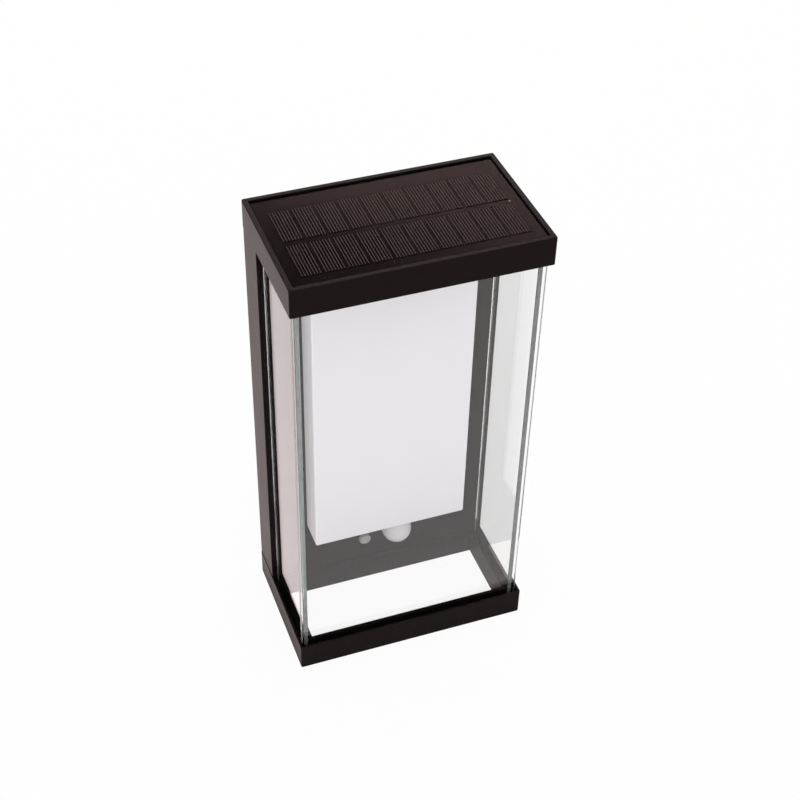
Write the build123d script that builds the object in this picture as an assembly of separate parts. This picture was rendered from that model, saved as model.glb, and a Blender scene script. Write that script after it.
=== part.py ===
from build123d import *
from collections import namedtuple
import math
import os

# Solar wall light: a glass lantern with a solar panel in its cap, hung on a bracket on the wall.
# The wall is the plane y = 0 and the light stands out towards -y. The origin lies on the wall,
# midway between the bracket's two screw holes. +x is the light's right, seen from its front.
# All lengths are in millimetres.

# Overall size
WIDTH = 150.0
DEPTH = 90.0
HEIGHT = 298.0
SCREW_ROW_DROP = 98.0          # from the top of the light down to the wall screws
CORNER_RADIUS = 1.2            # upright corners of the cap and the bottom frame
EDGE_RADIUS = 0.5              # level outer edges of the cap and the bottom frame
SEAM_STEP = 0.3                # the housing's sides stand this far inside the cap and the frame
SEAM_RADIUS = 0.4              # housing's top edge, which shows as a fine line below the cap

# Wall bracket and its hooks
BRACKET_WIDTH = 100.0
BRACKET_HEIGHT = 34.0
SHEET = 1.5                    # bracket sheet steel
BRACKET_CORNER = 4.0
BRACKET_CLEARANCE = 1.2        # between the bracket and the rear cover
WALL_HOLE_SPACING = 60.0
WALL_HOLE_RADIUS = 2.5
WALL_SCREW_HEAD = 4.5          # radius of the wall screws' heads, which stand on the bracket
WALL_SCREW_HEAD_HEIGHT = 3.0
HOOK_SPACING = 76.0
HOOK_WIDTH = 12.0
HOOK_LIP = 6.0                 # height of a hook's upturned lip
HOOK_CLEARANCE = 0.5
LIFT = 8.0                     # how far the light is raised to clear the hooks
POCKET_WALL = 1.5

# Battery, which sets the depth of the rear housing
BATTERY_DIAMETER = 18.3
BATTERY_LENGTH = 65.0
BATTERY_CLEARANCE = 0.4
BATTERY_FIT = 0.1              # cell to the holder's long walls
NUB_RADIUS = 2.9
NUB_HEIGHT = 1.0
CONTACT_ROOM = 2.5             # between each end of the cell and the holder
CONTACT_SHEET = 0.4
CONTACT_WIDTH = 12.0
CONTACT_DOME = 4.0             # radius of the dome pressed in the contact at the flat end
HOLDER_WALL = 1.6
HOLDER_DEPTH = 17.0
HOLDER_EAR = 8.0
HOLDER_EAR_HEIGHT = 10.0
HOLDER_EAR_THICKNESS = 2.0

# Rear housing and its cover
HOUSING_WALL = 2.0
HOUSING_CORNER = 0.6
COVER_THICKNESS = 2.0
COVER_CLEARANCE = 0.4
COVER_SEAL = 1.0
COVER_LEDGE = 4.0              # width of the ledge that the cover's seal lies on
LEDGE_THICKNESS = 2.0
COVER_SCREW_INSET = 7.7
COVER_SCREW_END = 15.4         # end screws of the cover, from the housing's inner ends
COVER_BOSS_RADIUS = 3.5

# Bottom frame
FRAME_HEIGHT = 18.6
FRAME_WALL = 1.4               # thin outer wall round the glass slot
FRAME_REAR_BAR = 27.1
REAR_BAR_WALL = 2.4
FRAME_BASE = 4.5               # metal below the glass slot and below the rear bar's hollow
LEDGE_DROP = 0.6               # inner ledge below the frame's rim
FRONT_LEDGE = 1.9
SIDE_LEDGE = 2.8
DRAIN_WALL = 0.5               # left on each side of a drain hole in the glass slot
DRAIN_SPACING = 90.0

# Top cap
CAP_HEIGHT = 17.6
CAP_RIM = 3.0                  # rim round the solar panel
CAP_SKIRT = 1.6                # thin wall below the cap's floor
CAP_FLOOR = 2.0
CAP_RIB = 2.2                  # rib inside the glass slot
RIB_SETBACK = 2.0              # rib's foot above the skirt's foot
SEAT_SCREW_INSET = 15.0        # outer cap and frame screws, in from each side
SEAT_SCREW_PITCH = 18.0        # outer to inner screw
SEAT_BOSS_RADIUS = 4.0
SEAT_BOSS_HEIGHT = 8.0
COUNTERBORE_WALL = 1.6
COUNTERBORE_DEPTH = 6.0

# Glass panes and their gaskets
GLASS = 3.0
GLASS_ARRIS = 0.3
GLASS_JOINT = 0.2              # gap at butting glass edges
FRONT_GLASS_INSET = 4.5        # frame's front to the front pane
FRONT_GLASS_SIDE = 2.2         # frame's side to the front pane's edge
SIDE_GLASS_INSET = 3.8         # frame's side to a side pane
SLOT_CLEARANCE = 0.2           # pane to the ledge or rib behind it
GASKET_HEIGHT = 4.0
GASKET_BED = 1.5
GASKET_CLEARANCE = 0.15
GASKET_GRIP = 0.1

# Solar panel
PANEL_RECESS = 0.6             # panel's face below the cap's rim
PANEL_GAP = 0.7                # panel's edge to the cap's rim
PANEL_BOARD = 1.6
PANEL_FILM = 0.6
PANEL_TAPE = 1.4
PANEL_TAPE_WIDTH = 8.0
PANEL_CORNER = 1.5
CELL_WIDTH = 12.0
CELL_DEPTH = 29.0
CELL_GAP = 1.1
CELL_ROW_GAP = 3.8
CELL_THICKNESS = 0.25
FILM_GLUE = 0.05               # clear adhesive between the film and what it covers
CELL_MARGIN = 5.0              # least bare border of the panel
CELL_SHIFT = 2.7               # cells sit this far forward of the panel's middle

# Diffuser and LED board
DIFFUSER_SIDE_GAP = 18.0       # side pane to the diffuser
DIFFUSER_DEPTH = 19.0
DIFFUSER_TOP_GAP = 8.0
DIFFUSER_ABOVE_SENSORS = 21.0  # sensor row to the diffuser's foot
DIFFUSER_WALL = 2.0
DIFFUSER_RADIUS = 1.0
DIFFUSER_BOSS_RADIUS = 3.4
DIFFUSER_BOSS_INSET = 6.5
LED_BOARD = 1.6
LED_BOARD_SIDE = 12.0          # diffuser's side to the LED board
LED_BOARD_END = 12.0
LED_PITCH = 24.0
LED_WIDTH = 3.5
LED_HEIGHT = 2.8
LED_THICKNESS = 0.8
LED_MARGIN = 12.0
LED_SCREW_INSET = 5.0

# Motion sensor and mode button
SENSOR_SPACING = 22.4          # motion sensor to mode button
LENS_RADIUS = 9.8
LENS_WALL = 0.9
LENS_FLANGE = 2.0
LENS_FLANGE_THICKNESS = 1.2
LENS_CLEARANCE = 0.2
SENSOR_CAN_RADIUS = 4.6
SENSOR_CAN_HEIGHT = 4.5
SENSOR_BOARD_WIDTH = 66.0
SENSOR_BOARD_HEIGHT = 26.0
SENSOR_BOARD_LIFT = 5.4        # above the housing's bottom wall
SENSOR_SCREW_INSET = 4.0
BUTTON_DROP = 2.5              # button's middle below the motion sensor's
BUTTON_RADIUS = 3.8
BUTTON_PROUD = 2.4
BUTTON_ROUND = 0.6
BUTTON_TRAVEL = 1.0
BUTTON_CLEARANCE = 0.3
BUTTON_FLANGE = 1.6
BUTTON_FLANGE_THICKNESS = 1.2
BUTTON_SEAL = 0.8
SWITCH_SIDE = 6.0
SWITCH_HEIGHT = 3.2
SWITCH_GAP = 0.4               # left between button and switch when the button is pressed
PLUNGER_RADIUS = 1.7
PLUNGER_DEPTH = 0.8            # plunger's reach into the switch when the button is released

# Control board
BOARD = 1.6
CONTROL_WIDTH = 84.0
CONTROL_HEIGHT = 50.0
CONTROL_STANDOFF = 4.0
CONTROL_SCREW_INSET = 4.0
STANDOFF_RADIUS = 2.8
CHIP_THICKNESS = 1.8
CHARGER_WIDTH = 10.0
CHARGER_HEIGHT = 8.0
CHARGER_RISE = 4.0             # above the board's middle
DRIVER_SIDE = 6.0
DRIVER_X = -14.0
DRIVER_RISE = -6.0
INDUCTOR_SIDE = 9.0
INDUCTOR_THICKNESS = 4.0
INDUCTOR_X = 15.0
INDUCTOR_RISE = -5.0
CAPACITOR_X = 28.5             # two capacitors, either side of the board's middle
CAPACITOR_RADIUS = 4.0
CAPACITOR_HEIGHT = 7.0
BATTERY_ABOVE_SENSOR_BOARD = 31.0
CONTROL_ABOVE_BATTERY = 19.0
CONNECTOR_WIDTH = 8.0
CONNECTOR_HEIGHT = 6.0
CONNECTOR_DEPTH = 5.0
CONNECTOR_EDGE = 2.0           # board's edge to the connector
LEAD_X = 26.0                  # connectors, either side of the control board's middle
SOLAR_LEAD_X = -14.0           # where the solar lead leaves the panel
LED_LEAD_RISE = 14.0           # LED lead's hole above the control board
SENSOR_LEAD_X = -20.0
SENSOR_LEAD_BYPASS = 8.0       # sensor lead to the battery holder's end
SOLAR_LEAD_BENDS = (0.67, 0.33)                # shares of the lead's height, from its lower end
SENSOR_LEAD_BENDS = (0.2, 0.42, 0.74, 0.87)    # shares of the lead's height, from its lower end
LEAD_RADIUS = 0.75
LEAD_HOLE_RADIUS = 1.6
BEND_SHARE = 0.45              # part of the shorter run beside a bend that its arc takes up
GROMMET_RADIUS = 3.0
GROMMET_LIP = 1.2

# Screws: radii of the shanks and heads, and the heads' heights
LARGE_SHANK = 2.0
LARGE_HEAD = 3.6
LARGE_HEAD_HEIGHT = 2.4
MEDIUM_SHANK = 1.5
MEDIUM_HEAD = 2.8
MEDIUM_HEAD_HEIGHT = 1.8
SMALL_SHANK = 1.1
SMALL_HEAD = 2.0
SMALL_HEAD_HEIGHT = 1.2
SCREW_HOLE_CLEARANCE = 0.25
PILOT_CLEARANCE = 0.05
SCREW_BITE = 8.0               # thread in a boss
HEAD_ROUND = 0.3               # rounding of a head's edge against its height
RECESS_DEPTH = 0.6             # depth of the cross recess against the head's height
RECESS_WIDTH = 0.28            # width of the cross recess against the head's radius
PILOT_SPARE = 1.0              # a blind pilot hole runs this far past the end of its screw

ScrewSize = namedtuple("ScrewSize", "shank head height")
LARGE_SCREW = ScrewSize(LARGE_SHANK, LARGE_HEAD, LARGE_HEAD_HEIGHT)
MEDIUM_SCREW = ScrewSize(MEDIUM_SHANK, MEDIUM_HEAD, MEDIUM_HEAD_HEIGHT)
SMALL_SCREW = ScrewSize(SMALL_SHANK, SMALL_HEAD, SMALL_HEAD_HEIGHT)

# Levels
TOP = SCREW_ROW_DROP
FOOT = TOP - HEIGHT
CAP_FOOT = TOP - CAP_HEIGHT
FRAME_TOP = FOOT + FRAME_HEIGHT
PANEL_TOP = TOP - PANEL_RECESS
FILM_FOOT = PANEL_TOP - PANEL_FILM
BOARD_FOOT = FILM_FOOT - PANEL_BOARD
CAP_SEAT = BOARD_FOOT - PANEL_TAPE
CAP_CEILING = CAP_SEAT - CAP_FLOOR
SLOT_FLOOR = FOOT + FRAME_BASE
GLASS_FOOT = SLOT_FLOOR + GASKET_BED
GLASS_TOP = CAP_CEILING - GASKET_BED
INNER_FOOT = FRAME_TOP + HOUSING_WALL
INNER_TOP = CAP_FOOT - HOUSING_WALL

# Depths, from the wall towards the front
COVER_REAR = -(SHEET + BRACKET_CLEARANCE)
COVER_FRONT = COVER_REAR - COVER_THICKNESS
LEDGE_REAR = COVER_FRONT - COVER_SEAL
LEDGE_FRONT = LEDGE_REAR - LEDGE_THICKNESS
INNER_FRONT = COVER_FRONT - BATTERY_DIAMETER - 2 * BATTERY_CLEARANCE
HOUSING_FRONT = INNER_FRONT - HOUSING_WALL
INNER_MIDDLE = (INNER_FRONT + COVER_FRONT) / 2
FRONT = -DEPTH
FRONT_GLASS_FACE = FRONT + FRONT_GLASS_INSET
FRONT_GLASS_BACK = FRONT_GLASS_FACE + GLASS
LEDGE_FACE = FRONT_GLASS_BACK + SLOT_CLEARANCE
OPENING_FRONT = LEDGE_FACE + FRONT_LEDGE
OPENING_REAR = -FRAME_REAR_BAR
DRAIN_RADIUS = (FRONT_GLASS_FACE - FRONT - FRAME_WALL) / 2 - DRAIN_WALL
SIDE_GLASS_REAR = HOUSING_FRONT - GLASS_JOINT
DIFFUSER_FRONT = HOUSING_FRONT - DIFFUSER_DEPTH
LED_BOARD_FACE = HOUSING_FRONT - LED_BOARD
BUTTON_FLANGE_FRONT = INNER_FRONT + BUTTON_SEAL
BUTTON_REAR = BUTTON_FLANGE_FRONT + BUTTON_FLANGE_THICKNESS
SWITCH_FRONT = BUTTON_REAR + BUTTON_TRAVEL + SWITCH_GAP
SENSOR_BOARD_FRONT = SWITCH_FRONT + SWITCH_HEIGHT
SENSOR_BOARD_FACE = SENSOR_BOARD_FRONT + BOARD
SENSOR_CONNECTOR_MIDDLE = SENSOR_BOARD_FACE + CONNECTOR_DEPTH / 2
CONTROL_FRONT = INNER_FRONT + CONTROL_STANDOFF
CONTROL_FACE = CONTROL_FRONT + BOARD
CONNECTOR_MIDDLE = CONTROL_FACE + CONNECTOR_DEPTH / 2

# Half widths, from the middle outwards
HALF = WIDTH / 2
HOUSING_HALF = HALF - SEAM_STEP
INNER_HALF = HOUSING_HALF - HOUSING_WALL
SIDE_GLASS_OUTER = HALF - SIDE_GLASS_INSET
SIDE_GLASS_INNER = SIDE_GLASS_OUTER - GLASS
LEDGE_HALF = SIDE_GLASS_INNER - SLOT_CLEARANCE
OPENING_HALF = LEDGE_HALF - SIDE_LEDGE
FRONT_GLASS_HALF = HALF - FRONT_GLASS_SIDE
DIFFUSER_HALF = SIDE_GLASS_INNER - DIFFUSER_SIDE_GAP
PANEL_HALF = HALF - CAP_RIM - PANEL_GAP
PANEL_FRONT = FRONT + CAP_RIM + PANEL_GAP
PANEL_REAR = -(CAP_RIM + PANEL_GAP)

# Rows inside the housing, from its foot upwards
SENSOR_BOARD_FOOT = INNER_FOOT + SENSOR_BOARD_LIFT
SENSOR_BOARD_TOP = SENSOR_BOARD_FOOT + SENSOR_BOARD_HEIGHT
SENSOR_ROW = (SENSOR_BOARD_FOOT + SENSOR_BOARD_TOP) / 2
BUTTON_ROW = SENSOR_ROW - BUTTON_DROP
LENS_X = SENSOR_SPACING / 2
BUTTON_X = -SENSOR_SPACING / 2
HOLDER_HALF_HEIGHT = BATTERY_DIAMETER / 2 + BATTERY_FIT + HOLDER_WALL
BATTERY_ROW = SENSOR_BOARD_TOP + BATTERY_ABOVE_SENSOR_BOARD + HOLDER_HALF_HEIGHT
HOLDER_TOP = BATTERY_ROW + HOLDER_HALF_HEIGHT
HOLDER_ROOM = BATTERY_LENGTH / 2 + CONTACT_ROOM
HOLDER_HALF = HOLDER_ROOM + HOLDER_WALL
CONTROL_FOOT = HOLDER_TOP + CONTROL_ABOVE_BATTERY
CONTROL_TOP = CONTROL_FOOT + CONTROL_HEIGHT
CONTROL_ROW = (CONTROL_FOOT + CONTROL_TOP) / 2
DIFFUSER_FOOT = SENSOR_ROW + DIFFUSER_ABOVE_SENSORS
DIFFUSER_TOP = CAP_FOOT - DIFFUSER_TOP_GAP
LED_BOARD_FOOT = DIFFUSER_FOOT + LED_BOARD_END
LED_BOARD_TOP = DIFFUSER_TOP - LED_BOARD_END
LED_BOARD_HALF = DIFFUSER_HALF - LED_BOARD_SIDE
LED_LEAD_ROW = CONTROL_TOP + LED_LEAD_RISE
BRACKET_TOP = BRACKET_HEIGHT / 2
SLOT_FOOT = BRACKET_TOP - SHEET - LIFT - HOOK_CLEARANCE


# Plain shapes
def block(x, y, z):
    """A box from (low, high) pairs along x, y and z."""
    middle = Pos((x[0] + x[1]) / 2, (y[0] + y[1]) / 2, (z[0] + z[1]) / 2)
    return middle * Box(x[1] - x[0], y[1] - y[0], z[1] - z[0])


def both(half):
    """The (low, high) pair of a span that is centred on the light's middle."""
    return (-half, half)


def rod(radius, start, end):
    """A cylinder between two points."""
    span = Vector(*end) - Vector(*start)
    upright = Cylinder(radius, span.length, align=(Align.CENTER, Align.CENTER, Align.MIN))
    return Plane(origin=start, z_dir=span) * upright


def group(shapes):
    """Separate solids that share one node."""
    return Compound(children=[solid for shape in shapes for solid in shape.solids()])


def screw(size, seat, direction, length):
    """A pan-head screw: its head stands on the seat, its shank runs along the direction."""
    standing = (Align.CENTER, Align.CENTER, Align.MIN)
    head = Pos(0, 0, -size.height) * Cylinder(size.head, size.height, align=standing)
    head = fillet(head.edges().group_by(Axis.Z)[0], size.height * HEAD_ROUND)
    shank = Cylinder(size.shank, length, align=standing)
    arm = Box(2 * size.shank, RECESS_WIDTH * size.head, RECESS_DEPTH * size.height, align=standing)
    cross = Pos(0, 0, -size.height) * (arm + Rot(0, 0, 90) * arm)
    return Plane(origin=seat, z_dir=direction) * (head + shank - cross)


def hole(size, start, end):
    """The clearance hole of a screw."""
    return rod(size.shank + SCREW_HOLE_CLEARANCE, start, end)


def pilot(size, start, end):
    """The hole that a screw's thread bites into."""
    return rod(size.shank + PILOT_CLEARANCE, start, end)


def raised(point, height):
    """The point that lies this far above another."""
    return (point[0], point[1], point[2] + height)


# Places of the screws
def seat_screw_places():
    """Screws that hold the housing between the cap and the frame, as x and y."""
    outer = HALF - SEAT_SCREW_INSET
    return [(side * x, INNER_MIDDLE) for x in (outer, outer - SEAT_SCREW_PITCH) for side in (-1, 1)]


def cover_screw_places():
    x = INNER_HALF - COVER_SCREW_INSET
    rows = (INNER_FOOT + COVER_SCREW_END, (INNER_FOOT + INNER_TOP) / 2, INNER_TOP - COVER_SCREW_END)
    return [(side * x, row) for row in rows for side in (-1, 1)]


def corner_places(half, foot, top, inset):
    """Four places, in from the corners of an upright rectangle, as x and z."""
    return [(side * (half - inset), row) for row in (foot + inset, top - inset) for side in (-1, 1)]


def diffuser_screw_places():
    return corner_places(DIFFUSER_HALF, DIFFUSER_FOOT, DIFFUSER_TOP, DIFFUSER_BOSS_INSET)


def led_screw_places():
    return corner_places(LED_BOARD_HALF, LED_BOARD_FOOT, LED_BOARD_TOP, LED_SCREW_INSET)


def control_screw_places():
    return corner_places(CONTROL_WIDTH / 2, CONTROL_FOOT, CONTROL_TOP, CONTROL_SCREW_INSET)


def sensor_screw_places():
    x = SENSOR_BOARD_WIDTH / 2 - SENSOR_SCREW_INSET
    return [(-x, SENSOR_ROW), (x, SENSOR_ROW)]


def holder_screw_places():
    x = HOLDER_HALF + HOLDER_EAR / 2
    return [(-x, BATTERY_ROW), (x, BATTERY_ROW)]


def hook_places():
    return (-HOOK_SPACING / 2, HOOK_SPACING / 2)


def wall_screw_places():
    return (-WALL_HOLE_SPACING / 2, WALL_HOLE_SPACING / 2)


def drain_places():
    y = (FRONT + FRAME_WALL + FRONT_GLASS_FACE) / 2
    return [(side * DRAIN_SPACING / 2, y) for side in (-1, 1)]


# Wall side
def wall_bracket():
    plate = block(both(BRACKET_WIDTH / 2), (-SHEET, 0), both(BRACKET_TOP))
    plate = fillet(plate.edges().filter_by(Axis.Y), BRACKET_CORNER)
    lip_rear = COVER_FRONT - HOOK_CLEARANCE
    lip_front = lip_rear - SHEET
    for x in hook_places():
        span = (x - HOOK_WIDTH / 2, x + HOOK_WIDTH / 2)
        plate += block(span, (lip_front, 0), (BRACKET_TOP - SHEET, BRACKET_TOP))
        plate += block(span, (lip_front, lip_rear), (BRACKET_TOP - SHEET, BRACKET_TOP + HOOK_LIP))
    for x in wall_screw_places():
        plate -= rod(WALL_HOLE_RADIUS, (x, -SHEET, 0), (x, 0, 0))
    return plate


def hook_pocket(x, wall):
    """The space round one hook behind the cover, grown by the pocket's wall."""
    reach = HOOK_WIDTH / 2 + HOOK_CLEARANCE + wall
    front = COVER_FRONT - 2 * HOOK_CLEARANCE - SHEET - wall
    top = BRACKET_TOP + HOOK_LIP + HOOK_CLEARANCE + wall
    return block((x - reach, x + reach), (front, COVER_FRONT), (SLOT_FOOT - wall, top))


def hook_slot(x):
    """The slot in the cover that a hook goes in by; its upper edge rests on the hook."""
    reach = HOOK_WIDTH / 2 + HOOK_CLEARANCE
    return block((x - reach, x + reach), (COVER_FRONT, COVER_REAR), (SLOT_FOOT, BRACKET_TOP))


def screw_pocket(x, wall):
    """The space for one wall screw's head while the light is lifted, grown by the pocket's wall."""
    reach = WALL_SCREW_HEAD + HOOK_CLEARANCE + wall
    front = -SHEET - WALL_SCREW_HEAD_HEIGHT - HOOK_CLEARANCE - wall
    return block((x - reach, x + reach), (front, COVER_REAR), (-LIFT - reach, reach))


def rear_cover():
    half = INNER_HALF - COVER_CLEARANCE
    rows = (INNER_FOOT + COVER_CLEARANCE, INNER_TOP - COVER_CLEARANCE)
    cover = block(both(half), (COVER_FRONT, COVER_REAR), rows)
    for x in hook_places():
        cover += hook_pocket(x, POCKET_WALL)
    for x in wall_screw_places():
        cover += screw_pocket(x, POCKET_WALL)
    for x in hook_places():
        cover -= hook_pocket(x, 0)
        cover -= hook_slot(x)
    for x in wall_screw_places():
        cover -= screw_pocket(x, 0)
    for x, z in cover_screw_places():
        cover -= hole(MEDIUM_SCREW, (x, COVER_FRONT, z), (x, COVER_REAR, z))
    return cover


def rear_cover_seal():
    outer = COVER_CLEARANCE
    inner = COVER_LEDGE - COVER_CLEARANCE
    depth = (LEDGE_REAR, COVER_FRONT)
    ring = block(both(INNER_HALF - outer), depth, (INNER_FOOT + outer, INNER_TOP - outer))
    return ring - block(both(INNER_HALF - inner), depth, (INNER_FOOT + inner, INNER_TOP - inner))


def rear_housing():
    shell = block(both(HOUSING_HALF), (HOUSING_FRONT, 0), (FRAME_TOP, CAP_FOOT))
    shell = fillet(shell.edges().filter_by(Axis.Z), HOUSING_CORNER)
    shell = fillet(shell.edges().group_by(Axis.Z)[-1], SEAM_RADIUS)
    shell -= block(both(INNER_HALF), (INNER_FRONT, 0), (INNER_FOOT, INNER_TOP))
    ledge = block(both(INNER_HALF), (LEDGE_FRONT, LEDGE_REAR), (INNER_FOOT, INNER_TOP))
    ledge -= block(both(INNER_HALF - COVER_LEDGE), (LEDGE_FRONT, LEDGE_REAR),
                   (INNER_FOOT + COVER_LEDGE, INNER_TOP - COVER_LEDGE))
    shell += ledge

    for x, z in cover_screw_places():
        shell += rod(COVER_BOSS_RADIUS, (x, INNER_FRONT, z), (x, COVER_FRONT, z))
        shell -= pilot(MEDIUM_SCREW, (x, COVER_FRONT - SCREW_BITE - PILOT_SPARE, z), (x, COVER_FRONT, z))
    for x, y in seat_screw_places():
        shell += rod(SEAT_BOSS_RADIUS, (x, y, INNER_FOOT), (x, y, INNER_FOOT + SEAT_BOSS_HEIGHT))
        shell -= pilot(LARGE_SCREW, (x, y, FRAME_TOP), (x, y, INNER_FOOT + SEAT_BOSS_HEIGHT))
        shell -= hole(LARGE_SCREW, (x, y, INNER_TOP), (x, y, CAP_FOOT))
    for x, z in control_screw_places():
        shell += rod(STANDOFF_RADIUS, (x, INNER_FRONT, z), (x, CONTROL_FRONT, z))
        shell -= pilot(SMALL_SCREW, (x, INNER_FRONT, z), (x, CONTROL_FRONT, z))
    for x, z in sensor_screw_places():
        shell += rod(STANDOFF_RADIUS, (x, INNER_FRONT, z), (x, SENSOR_BOARD_FRONT, z))
        shell -= pilot(SMALL_SCREW, (x, INNER_FRONT, z), (x, SENSOR_BOARD_FRONT, z))
    for x, z in diffuser_screw_places():
        shell -= hole(MEDIUM_SCREW, (x, HOUSING_FRONT, z), (x, INNER_FRONT, z))
    for x, z in led_screw_places():
        shell -= pilot(SMALL_SCREW, (x, HOUSING_FRONT, z), (x, INNER_FRONT, z))
    for x, z in holder_screw_places():
        shell -= pilot(SMALL_SCREW, (x, HOUSING_FRONT, z), (x, INNER_FRONT, z))

    lens_hole = LENS_RADIUS + LENS_CLEARANCE
    shell -= rod(lens_hole, (LENS_X, HOUSING_FRONT, SENSOR_ROW), (LENS_X, INNER_FRONT, SENSOR_ROW))
    button_hole = BUTTON_RADIUS + BUTTON_CLEARANCE
    shell -= rod(button_hole, (BUTTON_X, HOUSING_FRONT, BUTTON_ROW), (BUTTON_X, INNER_FRONT, BUTTON_ROW))
    lead_hole = (LEAD_X, HOUSING_FRONT, LED_LEAD_ROW)
    shell -= rod(LEAD_HOLE_RADIUS, lead_hole, (LEAD_X, INNER_FRONT, LED_LEAD_ROW))
    grommet = (SOLAR_LEAD_X, CONNECTOR_MIDDLE, INNER_TOP)
    shell -= rod(GROMMET_RADIUS, grommet, raised(grommet, HOUSING_WALL))
    return shell


# Frame below and cap above
def rounded_case(foot, top, soft_end):
    """The outer block of the cap or the frame, with its level edges rounded at the soft end."""
    case = block(both(HALF), (FRONT, 0), (foot, top))
    case = fillet(case.edges().filter_by(Axis.Z), CORNER_RADIUS)
    return fillet(case.edges().group_by(Axis.Z)[soft_end], EDGE_RADIUS)


def glass_slot(wall, foot, top):
    """The slot round the panes: between the outer wall and the ledge or rib inside them."""
    slot = block(both(HALF - wall), (FRONT + wall, HOUSING_FRONT), (foot, top))
    return slot - block(both(LEDGE_HALF), (LEDGE_FACE, HOUSING_FRONT), (foot, top))


def bottom_frame():
    frame = rounded_case(FOOT, FRAME_TOP, 0)
    frame -= block(both(OPENING_HALF), (OPENING_FRONT, OPENING_REAR), (FOOT, FRAME_TOP))
    frame -= glass_slot(FRAME_WALL, SLOT_FLOOR, FRAME_TOP)
    frame -= block(both(LEDGE_HALF), (LEDGE_FACE, HOUSING_FRONT), (FRAME_TOP - LEDGE_DROP, FRAME_TOP))
    hollow_front = max(HOUSING_FRONT, OPENING_REAR) + REAR_BAR_WALL
    frame -= block(both(HALF - REAR_BAR_WALL), (hollow_front, -REAR_BAR_WALL), (SLOT_FLOOR, FRAME_TOP))
    counterbore = LARGE_SCREW.head + SCREW_HOLE_CLEARANCE
    for x, y in seat_screw_places():
        frame += rod(counterbore + COUNTERBORE_WALL, (x, y, SLOT_FLOOR), (x, y, FRAME_TOP))
        frame -= hole(LARGE_SCREW, (x, y, FOOT), (x, y, FRAME_TOP))
        frame -= rod(counterbore, (x, y, FOOT), (x, y, FOOT + COUNTERBORE_DEPTH))
    for x, y in drain_places():
        frame -= rod(DRAIN_RADIUS, (x, y, FOOT), (x, y, SLOT_FLOOR))
    return frame


def top_cap():
    cap = rounded_case(CAP_FOOT, TOP, -1)
    cap -= block(both(HALF - CAP_RIM), (FRONT + CAP_RIM, -CAP_RIM), (CAP_SEAT, TOP))
    cap -= block(both(HALF - CAP_SKIRT), (FRONT + CAP_SKIRT, -CAP_SKIRT), (CAP_FOOT, CAP_CEILING))
    rib_rows = (CAP_FOOT + RIB_SETBACK, CAP_CEILING)
    rib = block(both(LEDGE_HALF), (LEDGE_FACE, HOUSING_FRONT), rib_rows)
    rib -= block(both(LEDGE_HALF - CAP_RIB), (LEDGE_FACE + CAP_RIB, HOUSING_FRONT), rib_rows)
    cap += rib
    for x, y in seat_screw_places():
        cap += rod(SEAT_BOSS_RADIUS, (x, y, CAP_FOOT), (x, y, CAP_CEILING))
        cap -= pilot(LARGE_SCREW, (x, y, CAP_FOOT), (x, y, CAP_FOOT + SCREW_BITE + PILOT_SPARE))
    lead_way = (SOLAR_LEAD_X, CONNECTOR_MIDDLE, CAP_CEILING)
    return cap - rod(LEAD_HOLE_RADIUS, lead_way, raised(lead_way, CAP_FLOOR))


# Solar panel
def panel_sheet(foot, top):
    sheet = block(both(PANEL_HALF), (PANEL_FRONT, PANEL_REAR), (foot, top))
    return fillet(sheet.edges().filter_by(Axis.Z), PANEL_CORNER)


def cell_grid(grow=0.0):
    """One block for each cell, in as many rows and columns as the panel has room for."""
    pitch_x = CELL_WIDTH + CELL_GAP
    pitch_y = CELL_DEPTH + CELL_ROW_GAP
    columns = int((2 * (PANEL_HALF - CELL_MARGIN) + CELL_GAP) // pitch_x)
    rows = int((PANEL_REAR - PANEL_FRONT - 2 * CELL_MARGIN + CELL_ROW_GAP) // pitch_y)
    middle = Pos(0, (PANEL_FRONT + PANEL_REAR) / 2 - CELL_SHIFT, FILM_FOOT)
    cell = Box(CELL_WIDTH + 2 * grow, CELL_DEPTH + 2 * grow, CELL_THICKNESS + grow,
               align=(Align.CENTER, Align.CENTER, Align.MIN))
    return group([middle * place * cell for place in GridLocations(pitch_x, pitch_y, columns, rows)])


def solar_tape():
    tape = panel_sheet(CAP_SEAT, BOARD_FOOT)
    inner = block(both(PANEL_HALF - PANEL_TAPE_WIDTH),
                  (PANEL_FRONT + PANEL_TAPE_WIDTH, PANEL_REAR - PANEL_TAPE_WIDTH), (CAP_SEAT, BOARD_FOOT))
    return tape - inner


def solar_board():
    return panel_sheet(BOARD_FOOT, FILM_FOOT)


def solar_film():
    return panel_sheet(FILM_FOOT + FILM_GLUE, PANEL_TOP) - cell_grid(FILM_GLUE)


# Glass and gaskets
def pane(x, y, grow):
    """A pane's block, or the groove round it when it is grown."""
    return block((x[0] - grow, x[1] + grow), (y[0] - grow, y[1] + grow), (GLASS_FOOT, GLASS_TOP))


def front_pane(grow=0.0):
    return pane(both(FRONT_GLASS_HALF), (FRONT_GLASS_FACE, FRONT_GLASS_BACK), grow)


def side_pane(side, grow=0.0):
    x = sorted((side * SIDE_GLASS_INNER, side * SIDE_GLASS_OUTER))
    return pane(x, (FRONT_GLASS_BACK + GLASS_JOINT, SIDE_GLASS_REAR), grow)


def glass(blank):
    return chamfer(blank.edges(), GLASS_ARRIS)


def gasket(wall, foot, top):
    """A rubber bed that fills a stretch of the glass slot and grips the three panes."""
    gap = GASKET_CLEARANCE
    bed = block(both(HALF - wall - gap), (FRONT + wall + gap, HOUSING_FRONT - gap), (foot, top))
    bed -= block(both(LEDGE_HALF + gap), (LEDGE_FACE - gap, HOUSING_FRONT), (foot, top))
    bed -= front_pane(GASKET_GRIP)
    for side in (-1, 1):
        bed -= side_pane(side, GASKET_GRIP)
    return bed


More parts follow.
